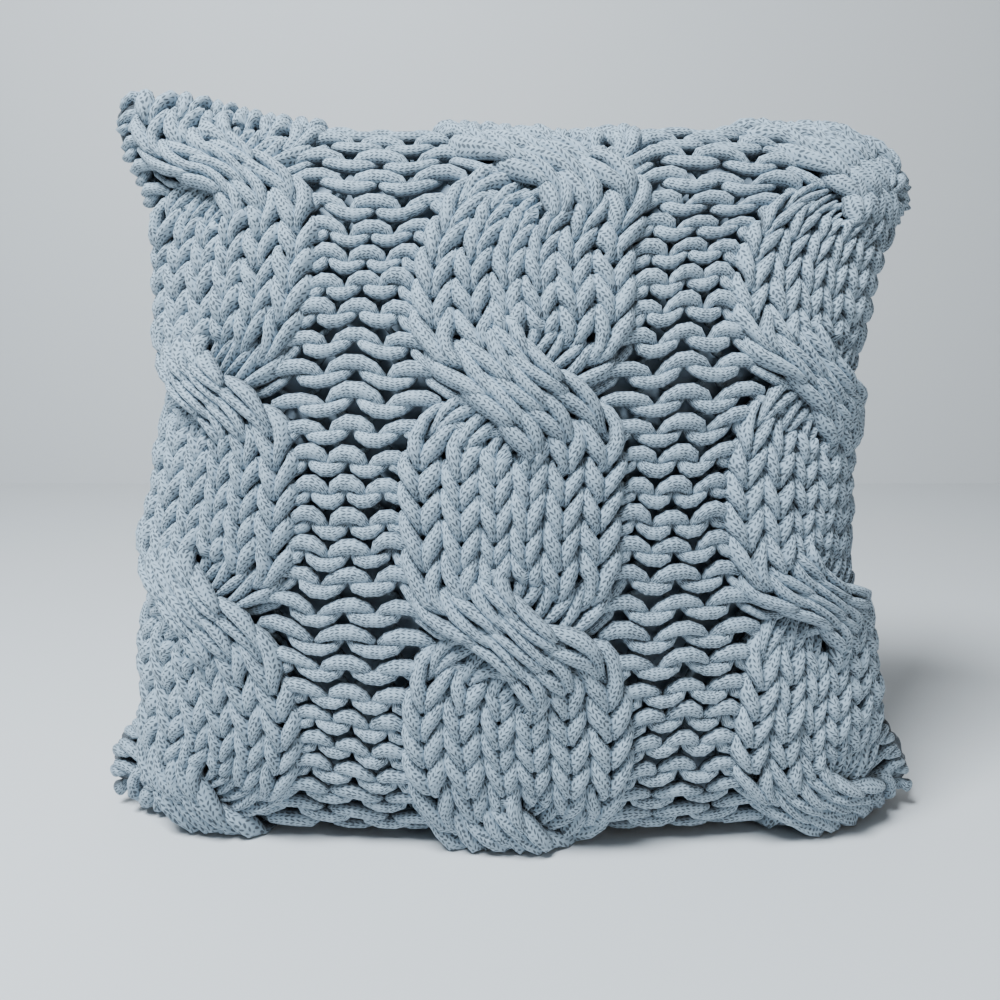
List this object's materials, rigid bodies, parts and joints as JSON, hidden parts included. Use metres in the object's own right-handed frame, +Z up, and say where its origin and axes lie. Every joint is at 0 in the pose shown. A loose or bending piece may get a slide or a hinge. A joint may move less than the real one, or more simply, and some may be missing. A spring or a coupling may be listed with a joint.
{
  "type": "throw pillow",
  "caption": "Square throw pillow in a chunky cable-knit yarn cover, standing on its lower edge, with a zipped lining and a fibre-filled insert.",
  "frame": {"origin": "middle of the pillow's box on the surface it stands on", "axes": "+X along the width, to the right seen from the front; +Y through the thickness, from the front face to the back; +Z up"},
  "size_m": [0.458, 0.19, 0.374],
  "materials": {
    "knit_yarn": "light grey-blue tubular knitted cotton yarn, matt",
    "lining_cloth": "smooth pale blue plain-weave cloth",
    "casing_cloth": "white non-woven casing cloth",
    "polyester_fibre": "loose white polyester fibre",
    "zip_tape": "grey-blue woven tape",
    "zip_teeth": "moulded grey-blue plastic",
    "zip_metal": "nickel-plated metal"
  },
  "bodies": {
    "pillow": {"knit_front_panel": "knit_yarn", "knit_back_panel": "knit_yarn", "seam_yarn_left": "knit_yarn", "seam_yarn_right": "knit_yarn", "seam_yarn_top": "knit_yarn", "seam_yarn_bottom_left": "knit_yarn", "seam_yarn_bottom_right": "knit_yarn", "lining_front": "lining_cloth", "lining_back": "lining_cloth", "zip_tape_front": "zip_tape", "zip_tape_back": "zip_tape", "zip_teeth_front": "zip_teeth", "zip_teeth_back": "zip_teeth", "zip_top_stop_front": "zip_metal", "zip_top_stop_back": "zip_metal", "zip_bottom_stop": "zip_metal", "insert_casing_front": "casing_cloth", "insert_casing_back": "casing_cloth", "fibre_fill": "polyester_fibre"},
    "slider": {"zip_slider": "zip_metal"},
    "pull_tab": {"zip_pull_tab": "zip_metal"}
  },
  "joints": [
    {"name": "zip_slide", "type": "slide", "parent": "pillow", "child": "slider", "axis": [-1, 0, 0], "range_m": [0, 0.256]},
    {"name": "pull_tab_swing", "type": "hinge", "parent": "slider", "child": "pull_tab", "pos_m": [0.128, -0.0176, 0.0095], "axis": [0, -1, 0], "range_deg": [0, 150]}
  ]
}
